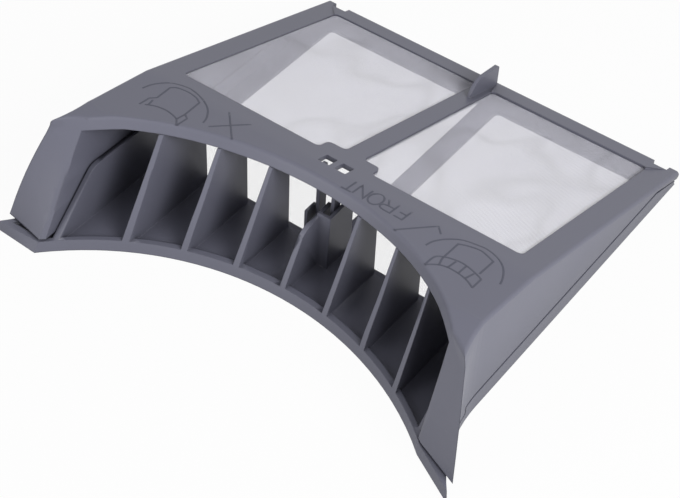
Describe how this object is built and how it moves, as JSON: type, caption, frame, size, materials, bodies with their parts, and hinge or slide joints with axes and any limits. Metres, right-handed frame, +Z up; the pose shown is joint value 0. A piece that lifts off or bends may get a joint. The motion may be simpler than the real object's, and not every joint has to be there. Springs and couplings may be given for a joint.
{
  "type": "tumble dryer lint filter",
  "caption": "Wedge-shaped clamshell lint filter for a tumble dryer door: a meshed upper half hinged at the rear to a finned lower half with an arched open front.",
  "frame": {"origin": "middle of the footprint, on the plane the lower half rests on", "axes": "+X to the right seen from the arched open front, +Y to the hinged rear edge, +Z up"},
  "size_m": [0.2832, 0.2614, 0.0654],
  "materials": {
    "grey_plastic": "fine satin texture, mid grey polypropylene",
    "gauze": "fine white woven nylon gauze"
  },
  "bodies": {
    "lower_half": {"lower_frame": "grey_plastic", "lower_mesh_left": "gauze", "lower_mesh_right": "gauze"},
    "upper_half": {"upper_frame": "grey_plastic", "upper_mesh_left": "gauze", "upper_mesh_right": "gauze"}
  },
  "joints": [
    {"name": "shell_hinge", "type": "hinge", "parent": "lower_half", "child": "upper_half", "pos_m": [0.00046, 0.1285, 0.0024], "axis": [-1, 0, 0], "range_deg": [0, 110]}
  ]
}
